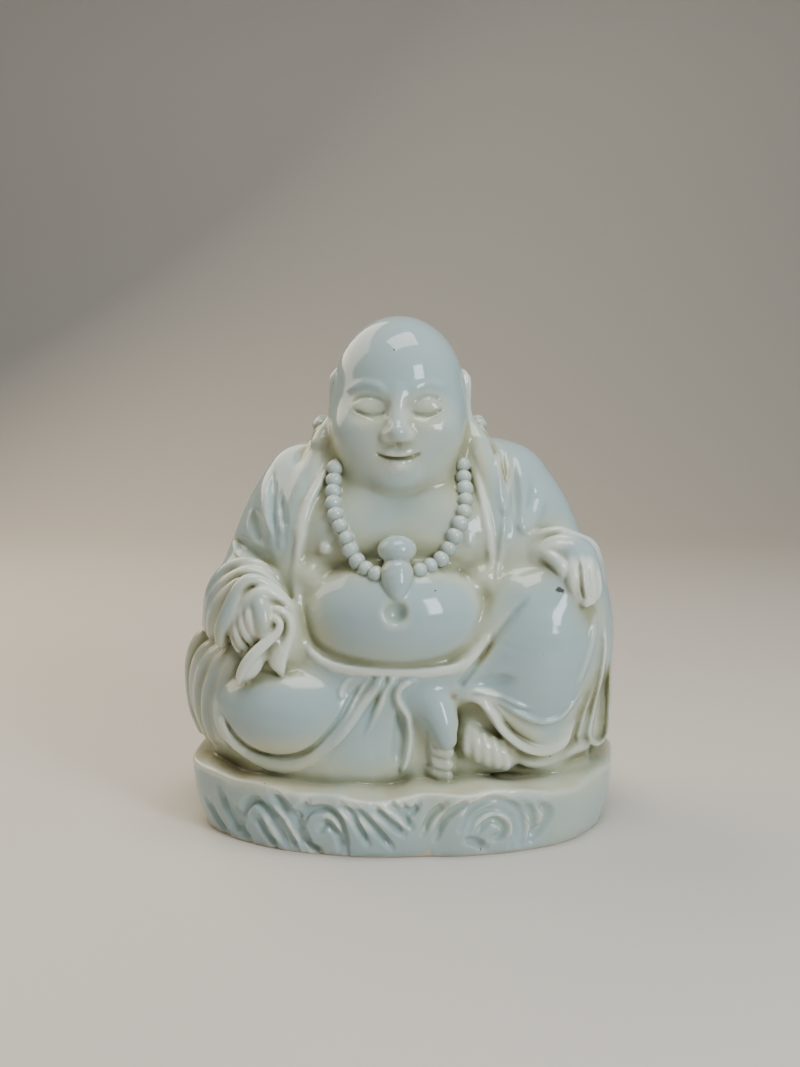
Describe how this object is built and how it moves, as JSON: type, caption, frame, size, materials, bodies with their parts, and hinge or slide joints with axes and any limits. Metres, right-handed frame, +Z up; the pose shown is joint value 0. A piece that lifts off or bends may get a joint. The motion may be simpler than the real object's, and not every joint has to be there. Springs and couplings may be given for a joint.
{
  "type": "budai figure",
  "caption": "Seated budai porcelain figure in pale celadon glaze, with open robe, bead necklace and gourd, on a carved rock plinth moulded with it.",
  "frame": {"origin": "middle of the plinth's flat underside", "axes": "+Z up through the head, the figure looks along -Y, +X to its left hand"},
  "size_m": [0.227, 0.155, 0.2602],
  "materials": {
    "celadon_glaze": "gloss"
  },
  "bodies": {
    "root": {"budai_figure": "celadon_glaze"}
  },
  "joints": []
}
